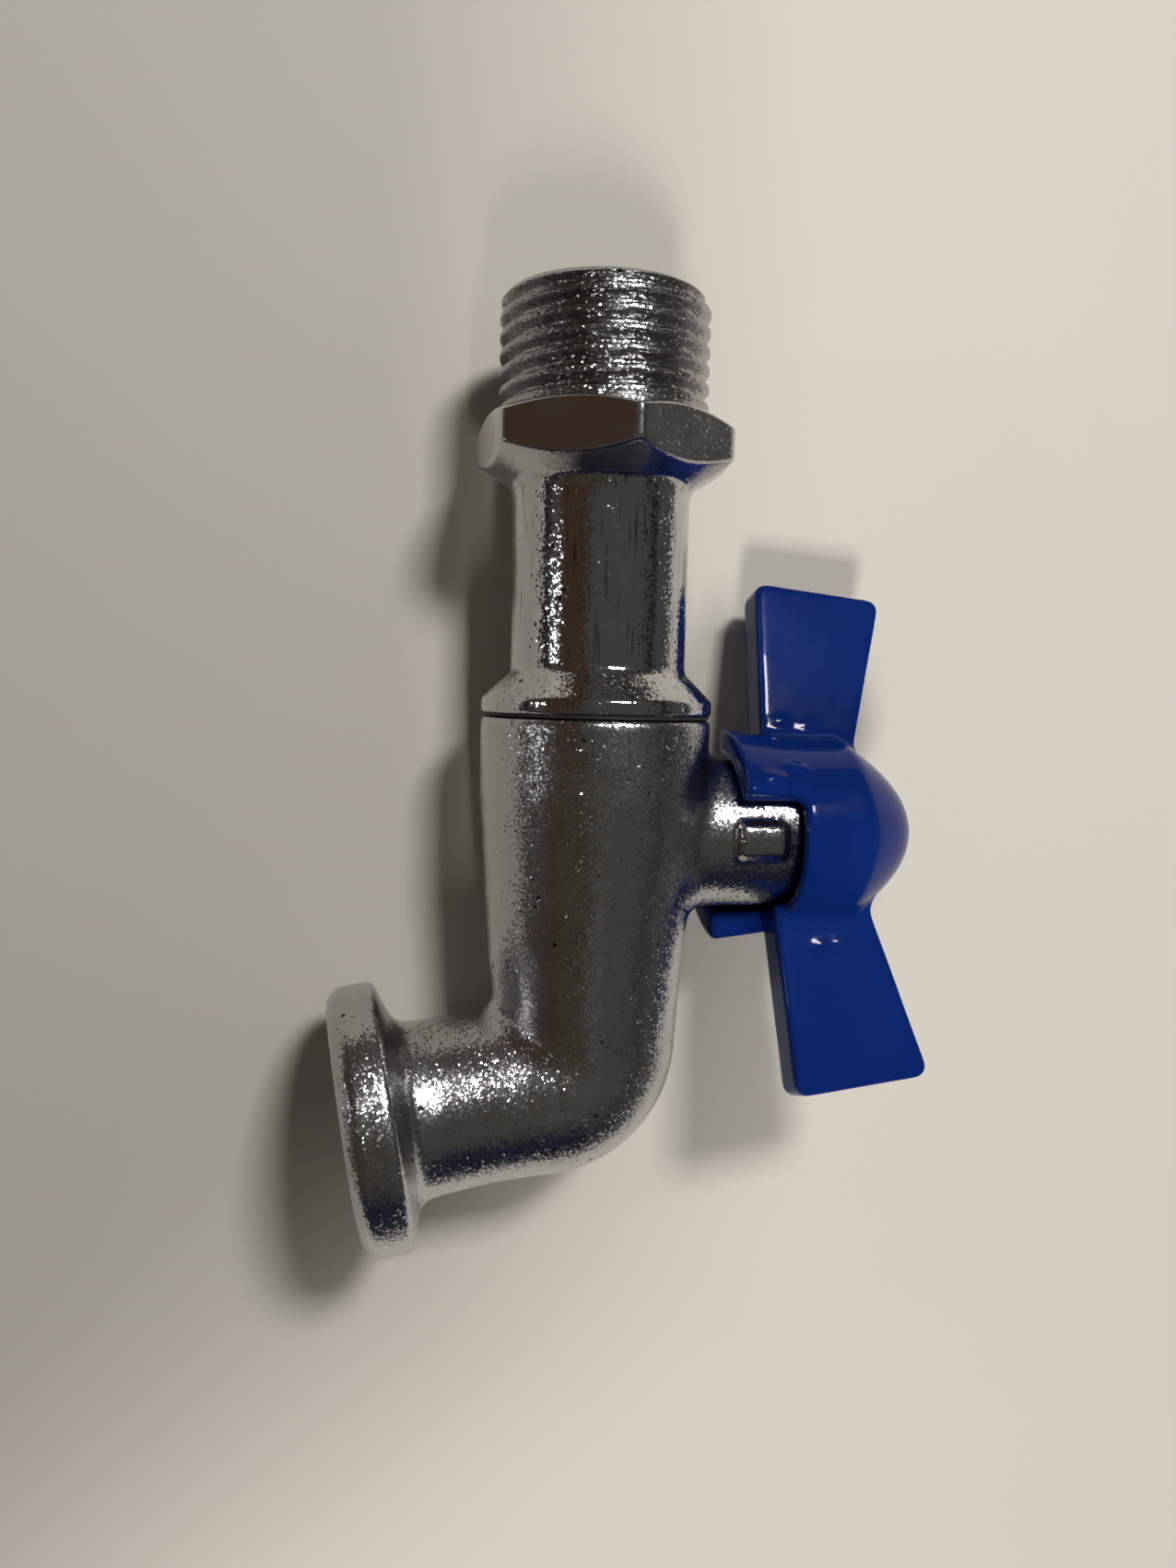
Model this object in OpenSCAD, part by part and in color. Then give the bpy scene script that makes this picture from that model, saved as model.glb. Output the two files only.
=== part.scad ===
// Quarter-turn angle valve with a butterfly handle.
// Frame: the origin is on the inlet axis, at the hexagon's sealing shoulder.
// Water flows towards +X, the stem and handle stand along +Z, and the spout
// points along -Z and leans towards +X. The valve is mirror-symmetric about
// the plane Y = 0, apart from the hexagon's angle and the turned handle.

/* [Inlet thread G1/2] */
// Outside radius of the thread
thread_r = 10.4775; // [10.4775:0.0001:10.4775]
// Pitch of the thread, 14 turns an inch
thread_pitch = 1.814; // [1.814:0.001:1.814]
// Depth from crest to root
thread_depth = 1.162; // [1.0:0.001:1.2]
// Length from the shoulder to the thread's end
thread_len = 11.8; // [9:0.1:16]
// Unthreaded length at the shoulder
thread_runout = 1.0; // [0.6:0.1:2]
// Chamfer on the thread's end
thread_chamfer = 0.9; // [0.4:0.1:1.2]

/* [Inlet connector] */
// Width of the hexagon across its flats
hex_af = 23.3; // [22:0.1:25]
// Length of the hexagon's corner edges
hex_len = 4.0; // [3:0.1:6]
// Turn of the hexagon about the inlet axis, in degrees
hex_turn = 2; // [-30:1:30]
// Radius of the long neck
neck_r = 8.9; // [8.5:0.1:9.5]
// Where the neck starts to flare into the collar
flare_x = 24.3; // [18:0.1:30]
// Length of the flare
flare_len = 3.7; // [2:0.1:5]
// Length of the cylindrical collar
collar_len = 1.2; // [0.8:0.1:3]
// Radius of the water way through the connector
inlet_bore_r = 6.8; // [5.5:0.1:7.2]

/* [Body] */
// Radius of the barrel where it meets the connector
barrel_r = 11.7; // [11:0.05:12]
// Distance from the shoulder to the stem's axis
stem_x = 41.3; // [41:0.1:42]
// Distance from the shoulder to where the inlet and spout axes cross
corner_x = 66.7; // [64:0.1:72]
// Lean of the spout away from square, in degrees
spout_lean = 9; // [0:1:20]
// Bend radius of the elbow's centre line, smaller than the elbow itself
bend_r = 5; // [4:0.5:6]
// Outside radius of the elbow
elbow_r = 9.2; // [9:0.1:9.5]
// Outside radius of the spout
spout_r = 8.8; // [8.4:0.1:9.2]
// Radius of the water way through the spout
spout_bore_r = 6.5; // [5.5:0.1:6.8]
// Length from the axes' crossing to the spout's face
spout_len = 25.2; // [23:0.1:32]
// Radius of the spout's flange
flange_r = 13.4; // [12:0.1:15]
// Thickness of the flange's cylindrical rim
flange_rim = 3.8; // [3:0.1:5]
// Chamfer on the flange's front
flange_chamfer = 1.2; // [0.6:0.1:1.6]
// Radius of the stem boss
boss_r = 7.8; // [7.4:0.1:8]
// Height of the boss above the inlet axis
boss_h = 20.9; // [20:0.1:21]
// Width of each stop lug on the boss
lug_w = 3.5; // [3:0.1:4]
// Height of a lug above the boss
lug_rise = 1.1; // [0.8:0.1:1.2]
// Bottom of the lugs above the inlet axis
lug_bottom = 12.9; // [12.5:0.1:14]
// Top of the lugs above the inlet axis
lug_top = 17.9; // [16:0.1:18.6]

/* [Ball and stem] */
// Radius of the ball
ball_r = 7.2; // [7.2:0.1:7.3]
// Radius of the hole through the ball
ball_bore_r = 4; // [3:0.1:4.2]
// Radius of the stem's shaft
stem_r = 3.4; // [3.2:0.1:3.5]
// Width across the stem's square end
square_w = 5; // [4.6:0.1:5.2]

/* [Handle] */
// How far the handle is turned from fully open towards closed, in degrees
handle_turn = 14; // [0:1:90]
// Radius of the hub where the skirt ends
hub_r = 9.5; // [9.4:0.1:10]
// Radius of the hub at the foot of its cone
hub_top_r = 9.9; // [9.6:0.1:10.5]
// Height of the cone's foot above the inlet axis
cone_z = 26.8; // [26.4:0.1:28]
// Height of the cone's blunt tip above the inlet axis
tip_z = 33.9; // [33.8:0.1:35]
// Lower end of the skirt above the inlet axis
skirt_z = 13.3; // [13:0.1:15]
// Outside radius of the skirt
skirt_r = 11.3; // [10.6:0.1:11.4]
// Distance from the stem's axis to the wing tips
wing_reach = 26.8; // [22:0.1:30]
// Height of the wings' middle at the stem's axis
wing_z = 22.2; // [22:0.1:23]
// Width of a wing at its tip
wing_tip_w = 14.5; // [11:0.1:16]
// Width of a wing at the hub
wing_root_w = 10.1; // [8:0.1:10.4]
// Thickness of a wing
wing_t = 4.4; // [3:0.1:5]
// Lean of the wings away from the body, in degrees
wing_lean = 9.4; // [0:0.1:10]
// Turn of the wings past the skirt's stops, in degrees
wing_turn = 4; // [0:1:8]
// Radius of the wing's corners
wing_corner_r = 1.6; // [0.5:0.1:3]

/* [Hidden] */
$fn = 96;

eps = 0.01;
big = 100;
chrome = "silver";
brass = "goldenrod";
ptfe = "white";
rubber = "dimgray";
paint = "mediumblue";

// Connector, measured along the inlet axis from the shoulder
hex_corner_r = hex_af / 2 / cos(30);
hex_face_r = hex_af / 2 - 0.3;
hex_chamfer = 0.9;
hex_cone_len = 2.4;
hex_cone_r = neck_r + 0.7;
neck_x = hex_len + hex_cone_len + 0.9;
collar_x = flare_x + flare_len;
flare_deg = 2 * atan((barrel_r - neck_r) / flare_len);
flare_r = flare_len / sin(flare_deg);
joint_x = collar_x + collar_len;
gasket_t = 0.3;
body_x = joint_x + gasket_t;

// Ball, seats and the chamber that holds them
seat_gap = 0.02;
seat_front = 4.7;
seat_back = 7.6;
seat_in_r = ball_bore_r + 0.4;
chamber_r = 8.65;
chamber_start = stem_x - seat_back;
chamber_end = stem_x + seat_back;
spigot_r = 9.7;
spigot_pitch = 1;
spigot_depth = 0.6;
spigot_flat = 0.12;
spigot_clear = 0.05;
spigot_len = chamber_start - joint_x;

// Barrel radii, each at a distance from the stem's axis
barrel_steps = [[-4, 11.6], [1, 11.2], [8, 10.45], [14.5, 9.85]];

// Elbow and spout
bend_deg = 90 - spout_lean;
bend_setback = bend_r * tan(bend_deg / 2);
elbow_x = corner_x - bend_setback;
barrel_bore_r = spout_bore_r - 0.5;
bore_past = 2;
bore_back = 1;
lap = 0.3;
spout_step = 0.12;
spout_taper = 3;
spout_flare = 0.2;
flange_cone = 1.5;
rim_edge = 0.2;
rim_start = spout_len - flange_chamfer - flange_rim;

// Stem, from the ball slot up to its square end
slot_w = 3;
slot_z = 5.5;
tongue_gap = 0.1;
stem_flange_r = 4.5;
stem_flange_z = ball_r + 0.1;
stem_flange_t = 1.1;
washer_t = 0.8;
pocket_r = stem_flange_r + 0.15;
pocket_z = stem_flange_z + stem_flange_t + washer_t + 0.05;
shaft_clear = 0.05;
o_ring_r = 0.48;
o_ring_gap = 0.02;
o_ring_mid_r = stem_r + shaft_clear - o_ring_r - o_ring_gap;
groove_w = 1.3;
o_ring_z = [12.2, 16.2];
square_z = boss_h + 0.2;
stem_top = square_z + 5.9;

// Handle and its screw
recess_r = boss_r + 0.45;
recess_z = boss_h + 0.3;
hub_z = 19.6;
skirt_in_r = boss_r + 0.3;
screw_r = 1.45;
screw_hole_r = 1.7;
head_r = 2.5;
head_pocket_r = 2.8;
head_pocket_z = tip_z - 3.9;
lock_t = 0.7;
head_z = head_pocket_z + lock_t;
head_top = tip_z;
dome_h = 1.4;
cone_tip_r = 4.4;

// Stop angles: the skirt's two segments stop just clear of the lugs at 0 and 90 degrees
lug_half = asin(lug_w / 2 / skirt_in_r);
stop_gap = 0.5;
skirt_from = lug_half + stop_gap;
skirt_to = 90 - skirt_from;

// ---------- Helpers ----------

module along_x(x = 0) translate([x, 0, 0]) rotate([0, 90, 0]) children();

module along_spout() translate([corner_x, 0, 0]) rotate([0, 180 - spout_lean, 0]) children();

module at_stem(turn = 0) translate([stem_x, 0, 0]) rotate(turn) children();

// A solid of revolution from [distance along the axis, radius] pairs,
// closed along the axis.
module turned(outline)
    rotate_extrude() polygon([
        [0, outline[0][0]],
        for (p = outline) [p[1], p[0]],
        [0, outline[len(outline) - 1][0]]
    ]);

// Crests and roots of ring-shaped thread turns, as [distance, radius] pairs
function thread_rings(start, count, pitch, crest_r, root_r, flat) = [
    for (i = [0:count - 1], step = [
        [0, crest_r], [flat, crest_r], [pitch / 2, root_r], [pitch / 2 + flat, root_r]
    ]) [start + i * pitch + step[0], step[1]]
];

// Points of a closed outline with each corner rounded to radius r
function rounded(points, r, steps = 8) = [
    for (i = [0:len(points) - 1])
        let (
            p = points[i],
            a = points[(i + len(points) - 1) % len(points)] - p,
            b = points[(i + 1) % len(points)] - p,
            ua = a / norm(a),
            ub = b / norm(b),
            half = acos(ua * ub) / 2,
            mid = (ua + ub) / norm(ua + ub),
            centre = p + mid * r / sin(half),
            from = p + ua * r / tan(half) - centre,
            to = p + ub * r / tan(half) - centre,
            start = atan2(from[1], from[0]),
            sweep = ((atan2(to[1], to[0]) - start + 540) % 360) - 180
        )
        for (s = [0:steps])
            let (turn = start + sweep * s / steps) centre + r * [cos(turn), sin(turn)]
];

// ---------- Inlet connector ----------

module inlet_thread() {
    turns = floor((thread_len - thread_runout - thread_chamfer) / thread_pitch);
    flat = thread_pitch / 6;
    lead = thread_runout + turns * thread_pitch;
    along_x() mirror([0, 0, 1]) turned(concat(
        [[-eps, thread_r], [thread_runout, thread_r],
         [thread_runout + thread_pitch / 3, thread_r - thread_depth]],
        thread_rings(thread_runout + thread_pitch * 0.6, turns - 1, thread_pitch, thread_r,
                     thread_r - thread_depth, flat),
        [[lead, thread_r], [thread_len - thread_chamfer, thread_r], [thread_len, thread_r - thread_chamfer]]
    ));
}

// Both cones run on past the hexagon's corner edges, so they cut them cleanly
module hexagon() {
    overshoot = 0.15;
    intersection() {
        along_x() rotate(90 - hex_turn) cylinder(h = neck_x, r = hex_corner_r, $fn = 6);
        along_x() turned([
            [0, hex_face_r],
            [hex_chamfer * (1 + overshoot), hex_corner_r + (hex_corner_r - hex_face_r) * overshoot],
            [hex_len - hex_cone_len * overshoot, hex_corner_r + (hex_corner_r - hex_cone_r) * overshoot],
            [hex_len + hex_cone_len, hex_cone_r],
            [neck_x, neck_r - 0.3]
        ]);
    }
}

// The concave flare from the neck out to the collar, as [distance, radius] pairs
function flare(steps) = [
    for (i = [0:steps])
        let (a = flare_deg * i / steps)
        [flare_x + flare_r * sin(a), neck_r + flare_r * (1 - cos(a))]
];

module connector_tail() {
    turns = floor(spigot_len / spigot_pitch) - 1;
    along_x() turned(concat(
        [[hex_len, neck_r]], flare(6), [[joint_x, barrel_r],
         [joint_x, spigot_r - spigot_depth], [joint_x + spigot_pitch / 2, spigot_r - spigot_depth]],
        thread_rings(joint_x + spigot_pitch * 0.8, turns, spigot_pitch, spigot_r,
                     spigot_r - spigot_depth, spigot_flat),
        [[chamber_start, spigot_r - spigot_depth]]
    ));
}

module inlet_connector() {
    color(chrome) difference() {
        union() {
            inlet_thread();
            hexagon();
            connector_tail();
        }
        along_x(-thread_len - 1) cylinder(h = thread_len + chamber_start + 2, r = inlet_bore_r);
        along_x(-thread_len - eps) cylinder(h = 1, r1 = inlet_bore_r + 1, r2 = inlet_bore_r);
    }
}

module joint_gasket() {
    color("black") along_x(joint_x) difference() {
        cylinder(h = gasket_t, r = barrel_r - 0.2);
        translate([0, 0, -1]) cylinder(h = gasket_t + 2, r = spigot_r + 0.1);
    }
}

// ---------- Body ----------

module barrel() {
    along_x() turned([
        [body_x, barrel_r], for (s = barrel_steps) [stem_x + s[0], s[1]], [elbow_x, elbow_r]
    ]);
}

// The bend is tighter than the pipe, so its circle is cut off at the bend's axis
module elbow() {
    translate([elbow_x, 0, -bend_r]) rotate(a = -120, v = [1, 1, 1])
        rotate_extrude(angle = bend_deg) intersection() {
            translate([bend_r, 0]) circle(r = elbow_r);
            translate([0, -2 * elbow_r]) square(4 * elbow_r);
        }
}

module spout() {
    along_spout() turned([
        [bend_setback - lap, elbow_r + spout_step], [bend_setback + spout_taper, spout_r],
        [rim_start - flange_cone, spout_r + spout_flare], [rim_start, flange_r - rim_edge],
        [rim_start + rim_edge, flange_r], [rim_start + flange_rim, flange_r],
        [spout_len, flange_r - flange_chamfer]
    ]);
}

module stop_lugs() {
    for (side = [0, 180]) at_stem(side) intersection() {
        cylinder(h = lug_top, r = boss_r + lug_rise);
        translate([-lug_w / 2, -barrel_r, lug_bottom]) cube([lug_w, barrel_r, lug_top - lug_bottom]);
    }
}

module water_way() {
    spigot_turns = floor(spigot_len / spigot_pitch) - 1;
    along_x() turned(concat(
        [[body_x - 1, spigot_r + spigot_clear], [joint_x + spigot_pitch * 0.8, spigot_r + spigot_clear]],
        thread_rings(joint_x + spigot_pitch * 0.8, spigot_turns, spigot_pitch, spigot_r + spigot_clear,
                     spigot_r - spigot_depth + spigot_clear, spigot_flat),
        [[chamber_start, spigot_r - spigot_depth + spigot_clear]]
    ));
    along_x(chamber_start) cylinder(h = chamber_end - chamber_start, r = chamber_r);
    along_x(chamber_end) cylinder(h = corner_x + bore_past - chamber_end, r = barrel_bore_r);
    along_spout() {
        translate([0, 0, -bore_back]) cylinder(h = spout_len + bore_back + 1, r = spout_bore_r);
        translate([0, 0, spout_len - 1]) cylinder(h = 1 + eps, r1 = spout_bore_r, r2 = spout_bore_r + 1);
    }
}

module valve_body() {
    color(chrome) difference() {
        union() {
            barrel();
            elbow();
            spout();
            at_stem() cylinder(h = boss_h, r = boss_r);
            stop_lugs();
        }
        water_way();
        at_stem() cylinder(h = pocket_z, r = pocket_r);
        at_stem() cylinder(h = big, r = stem_r + shaft_clear);
    }
}

// ---------- Ball, seats and stem ----------

module ball() {
    color(chrome) at_stem(-handle_turn) difference() {
        sphere(r = ball_r);
        along_x(-big / 2) cylinder(h = big, r = ball_bore_r);
        translate([-slot_w / 2, -big / 2, slot_z]) cube([slot_w, big, big]);
    }
}

module seat() {
    difference() {
        translate([0, 0, seat_front]) cylinder(h = seat_back - seat_front, r = chamber_r - 0.05);
        cylinder(h = big, r = seat_in_r);
        sphere(r = ball_r + seat_gap);
    }
}

module seat_inlet() {
    color(ptfe) translate([stem_x, 0, 0]) rotate([0, -90, 0]) seat();
}

module seat_outlet() {
    color(ptfe) translate([stem_x, 0, 0]) rotate([0, 90, 0]) seat();
}

module stem() {
    color(brass) at_stem(-handle_turn) difference() {
        union() {
            intersection() {
                translate([-slot_w / 2 + tongue_gap, -big / 2, slot_z + tongue_gap])
                    cube([slot_w - 2 * tongue_gap, big, stem_flange_z - slot_z]);
                cylinder(h = big, r = stem_flange_r);
            }
            translate([0, 0, stem_flange_z]) cylinder(h = stem_flange_t, r = stem_flange_r);
            translate([0, 0, stem_flange_z]) cylinder(h = square_z - stem_flange_z, r = stem_r);
            intersection() {
                translate([-square_w / 2, -square_w / 2, square_z - eps])
                    cube([square_w, square_w, stem_top - square_z + eps]);
                cylinder(h = big, r = stem_r);
            }
        }
        for (z = o_ring_z) translate([0, 0, z - groove_w / 2]) difference() {
            cylinder(h = groove_w, r = stem_r + 1);
            translate([0, 0, -1]) cylinder(h = groove_w + 2, r = o_ring_mid_r - o_ring_r - o_ring_gap);
        }
        translate([0, 0, stem_top - 5.2]) cylinder(h = 6, r = screw_r + 0.05);
    }
}

module thrust_washer() {
    color(ptfe) at_stem() translate([0, 0, stem_flange_z + stem_flange_t]) difference() {
        cylinder(h = washer_t, r = stem_flange_r);
        translate([0, 0, -1]) cylinder(h = washer_t + 2, r = stem_r + shaft_clear);
    }
}

module o_ring(z) {
    color(rubber) at_stem() translate([0, 0, z])
        rotate_extrude() translate([o_ring_mid_r, 0]) circle(r = o_ring_r, $fn = 32);
}

module stem_o_ring_lower() o_ring(o_ring_z[0]);

module stem_o_ring_upper() o_ring(o_ring_z[1]);

// ---------- Handle ----------

module hub() {
    translate([0, 0, hub_z]) rotate_extrude() polygon([
        [0, recess_z - hub_z], [recess_r, recess_z - hub_z], [recess_r, 0], [hub_r, 0],
        [hub_top_r, cone_z - hub_z], [hub_top_r - 0.8, cone_z + 0.6 - hub_z],
        [hub_top_r - 2.6, cone_z + 3.2 - hub_z], [cone_tip_r, tip_z - 0.9 - hub_z],
        [cone_tip_r - 0.8, tip_z - hub_z], [0, tip_z - hub_z]
    ]);
}

// Angles run from the -Y side of the open handle towards -X
module skirt() {
    for (side = [0, 180]) rotate(side - 90 - skirt_to)
        rotate_extrude(angle = skirt_to - skirt_from) polygon([
            [skirt_in_r, skirt_z], [skirt_r - 0.5, skirt_z], [skirt_r, skirt_z + 0.6],
            [hub_r + 0.3, cone_z - 1], [recess_r, cone_z - 1], [recess_r, hub_z], [skirt_in_r, hub_z]
        ]);
}

module wings() {
    foot = hub_r - 2;
    outline = rounded([
        [foot, -wing_root_w / 2], [wing_reach, -wing_tip_w / 2],
        [wing_reach, wing_tip_w / 2], [foot, wing_root_w / 2]
    ], wing_corner_r);
    for (side = [0, 180]) rotate(side - wing_turn) translate([0, wing_t / 2, wing_z]) rotate([90, 0, 0])
        rotate(wing_lean) linear_extrude(height = wing_t) polygon(outline);
}

module handle() {
    color(paint) at_stem(-handle_turn) difference() {
        union() {
            hub();
            skirt();
            wings();
        }
        translate([0, 0, square_z - 1])
            linear_extrude(height = stem_top - square_z + 1.2) square(square_w + 0.1, center = true);
        translate([0, 0, square_z]) cylinder(h = big, r = screw_hole_r);
        translate([0, 0, head_pocket_z]) cylinder(h = big, r = head_pocket_r);
    }
}

module lock_washer() {
    color("gray") at_stem(-handle_turn) translate([0, 0, head_pocket_z]) difference() {
        cylinder(h = lock_t, r = head_pocket_r - 0.15);
        translate([0, 0, -1]) cylinder(h = lock_t + 2, r = screw_r + 0.15);
        translate([0, -0.2, -1]) cube([head_r + 1, 0.4, lock_t + 2]);
    }
}

module handle_screw() {
    dome_r = (head_r * head_r + dome_h * dome_h) / (2 * dome_h);
    cross_w = 0.8;
    cross_len = 3;
    cross_z = head_top + dome_h - 1;
    color(chrome) at_stem(-handle_turn) difference() {
        union() {
            translate([0, 0, stem_top - 4.6]) cylinder(h = head_z - stem_top + 4.6 + eps, r = screw_r);
            translate([0, 0, head_z]) cylinder(h = head_top - head_z, r = head_r);
            intersection() {
                translate([0, 0, head_top + dome_h - dome_r]) sphere(r = dome_r);
                translate([0, 0, head_top - eps]) cylinder(h = dome_h + 1, r = head_r);
            }
        }
        for (turn = [0, 90]) rotate(turn)
            translate([-cross_len / 2, -cross_w / 2, cross_z]) cube([cross_len, cross_w, dome_h + 1]);
    }
}

valve_body();
inlet_connector();
joint_gasket();
ball();
seat_inlet();
seat_outlet();
stem();
thrust_washer();
stem_o_ring_lower();
stem_o_ring_upper();
handle();
handle_screw();
lock_washer();
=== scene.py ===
import math

import bpy
import numpy as np
from mathutils import Matrix, Vector


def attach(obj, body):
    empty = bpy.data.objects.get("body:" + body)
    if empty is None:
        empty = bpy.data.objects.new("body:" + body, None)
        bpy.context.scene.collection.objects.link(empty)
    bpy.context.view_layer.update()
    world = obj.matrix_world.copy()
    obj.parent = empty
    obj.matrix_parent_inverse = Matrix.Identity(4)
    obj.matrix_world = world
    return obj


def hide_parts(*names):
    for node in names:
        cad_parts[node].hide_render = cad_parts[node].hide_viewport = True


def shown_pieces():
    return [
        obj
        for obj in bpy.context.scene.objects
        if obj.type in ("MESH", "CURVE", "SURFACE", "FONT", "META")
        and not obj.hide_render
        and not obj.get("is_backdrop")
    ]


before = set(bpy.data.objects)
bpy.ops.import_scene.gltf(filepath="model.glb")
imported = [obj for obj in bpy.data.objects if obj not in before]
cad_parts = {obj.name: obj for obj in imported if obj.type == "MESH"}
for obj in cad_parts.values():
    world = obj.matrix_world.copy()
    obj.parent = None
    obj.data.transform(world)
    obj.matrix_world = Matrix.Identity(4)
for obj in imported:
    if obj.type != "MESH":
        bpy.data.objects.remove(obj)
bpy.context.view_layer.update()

# An angle valve with a butterfly handle, on the CAD model's frame: the origin is at the hexagon's
# shoulder on the inlet axis, +X is the way the water flows, and the stem stands along +Z.
# Lengths are in millimetres until a mesh is made.
MM = 0.001

# ---------------------------------------------------------------- sizes
# inlet connector
THREAD_R, THREAD_PITCH, THREAD_DEPTH, THREAD_END = 10.4775, 1.814, 1.16, -11.8
HEX_AF, HEX_LEN, HEX_TURN, NECK_R = 23.3, 4.0, math.radians(2), 8.9
HEX_END, NECK_START = 6.5, 9.0
FLARE_X, COLLAR_X, JOINT_X = 24.3, 28.0, 29.2
SPIGOT_R, SPIGOT_END, INLET_BORE_R = 9.1, 33.7, 6.8
# body
BODY_X, BARREL_R, BARREL_END_R, WATER_WAY_R = 29.5, 11.7, 9.2, 6.0
STEM_X, CORNER_X, SPOUT_LEAN, BEND_R, ELBOW_R = 41.3, 66.7, math.radians(9), 5.0, 9.2
SPOUT_LEN, SPOUT_BORE_R, FLANGE_R, FLANGE_BACK, FLANGE_CHAMFER = 25.2, 6.5, 13.4, 18.9, 1.25
BOSS_R, BOSS_H = 7.8, 20.9
LUG_HALF_W, LUG_Z, LUG_HALF_H, LUG_RISE = 1.75, 15.4, 2.5, 1.1
CHAMBER_R, CHAMBER_HALF = 8.65, 7.6
STEM_HOLE_R, STEM_POCKET_R, STEM_POCKET_TOP = 3.45, 4.65, 9.2
BALL_R, BALL_BORE_R = 7.2, 4.0
# handle
HANDLE_TURN, WING_TURN = 14.0, 4.0
HUB_Z, CONE_Z, TIP_Z, HUB_R, TIP_R = 19.6, 26.8, 33.9, 9.9, 3.4
SKIRT_Z, SKIRT_R, SKIRT_FRONT, SKIRT_BACK = 13.3, 11.3, math.radians(12.6), math.radians(75.93)
WING_REACH, WING_Z, WING_TIP_W, WING_ROOT_W, WING_T = 26.8, 22.2, 14.5, 9.4, 4.4
WING_LEAN = math.radians(9.4)
STEM_SQUARE, STEM_SQUARE_TOP, SCREW_HOLE_R = 5.1, 28.3, 1.7
HEAD_R, HEAD_POCKET_R, HEAD_POCKET_Z, HEAD_RISE = 2.5, 2.8, 30.0, 1.4
# Beads where the paint ran, on the handle before it is turned into place: a centre and a radius.
PAINT_BEADS = (
    (-11.2, -1.8, 23.6, 0.62),
    (-11.6, -1.9, 20.8, 0.58),
    (-3.4, -9.9, 16.2, 0.6),
    (-4.6, -8.9, 18.9, 0.6),
    (12.4, -1.8, 23.3, 0.6),
    (12.2, -1.9, 25.3, 0.55),
    (-5.6, 8.2, 21.5, 0.6),
)
# Spacing of the grid on which each solid is meshed.
BODY_STEP, HANDLE_STEP, SCREW_STEP, BALL_STEP = 0.3, 0.27, 0.11, 0.25


# ---------------------------------------------------------------- solids as distance fields
def join(a, b, r):
    """The union of two distance fields, with a fillet of radius r where they meet."""
    return np.maximum(r, np.minimum(a, b)) - np.hypot(np.maximum(r - a, 0), np.maximum(r - b, 0))


def meet(a, b, r):
    """The intersection of two distance fields, its edge rounded to radius r."""
    return -join(-a, -b, r)


def profile(s, points):
    """A radius that changes along s, straight between the given points."""
    at, radius = zip(*points)
    return np.interp(s, at, radius).astype(np.float32)


def outline_distance(u, v, points):
    """Signed distance to a closed outline of straight edges, negative inside."""
    best = np.full(u.shape, 1e9, np.float32)
    inside = np.zeros(u.shape, bool)
    for (ax, ay), (bx, by) in zip(points, points[1:] + points[:1]):
        ex, ey = bx - ax, by - ay
        wx, wy = u - ax, v - ay
        t = np.clip((wx * ex + wy * ey) / (ex * ex + ey * ey), 0, 1)
        best = np.minimum(best, (wx - ex * t) ** 2 + (wy - ey * t) ** 2)
        if ay != by:
            crosses = (ay > v) != (by > v)
            inside ^= crosses & (u < ex * (v - ay) / (by - ay) + ax)
    return np.where(inside, -1, 1) * np.sqrt(best)


def blurred(field, sigma, step):
    """The field smoothed by a Gaussian, which rounds every edge and corner of the solid."""
    reach = int(math.ceil(2.5 * sigma / step))
    weights = [math.exp(-0.5 * (i * step / sigma) ** 2) for i in range(-reach, reach + 1)]
    weights = [w / sum(weights) for w in weights]
    for axis in range(3):
        pad = [(reach, reach) if a == axis else (0, 0) for a in range(3)]
        wide = np.pad(field, pad, mode="edge")
        n = field.shape[axis]
        field = sum(w * np.take(wide, range(i, i + n), axis) for i, w in enumerate(weights))
    return field.astype(np.float32)


def sampled(field, low, step, points):
    """The field's value at points, between grid samples."""
    at = np.clip((points - low) / step, 0, np.array(field.shape) - 1.001)
    i = at.astype(int)
    f = at - i
    value = 0
    for dx in (0, 1):
        for dy in (0, 1):
            for dz in (0, 1):
                offset = np.array((dx, dy, dz))
                share = np.where(offset, f, 1 - f).prod(axis=1)
                value = value + share * field[tuple((i + offset).T)]
    return value


def slope(field, low, step, points):
    """The field's unit gradient at points."""
    g = np.stack([
        sampled(field, low, step, points + d) - sampled(field, low, step, points - d)
        for d in np.eye(3) * step * 0.75
    ], 1)
    return g / np.maximum(np.linalg.norm(g, axis=1, keepdims=True), 1e-9)


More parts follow.
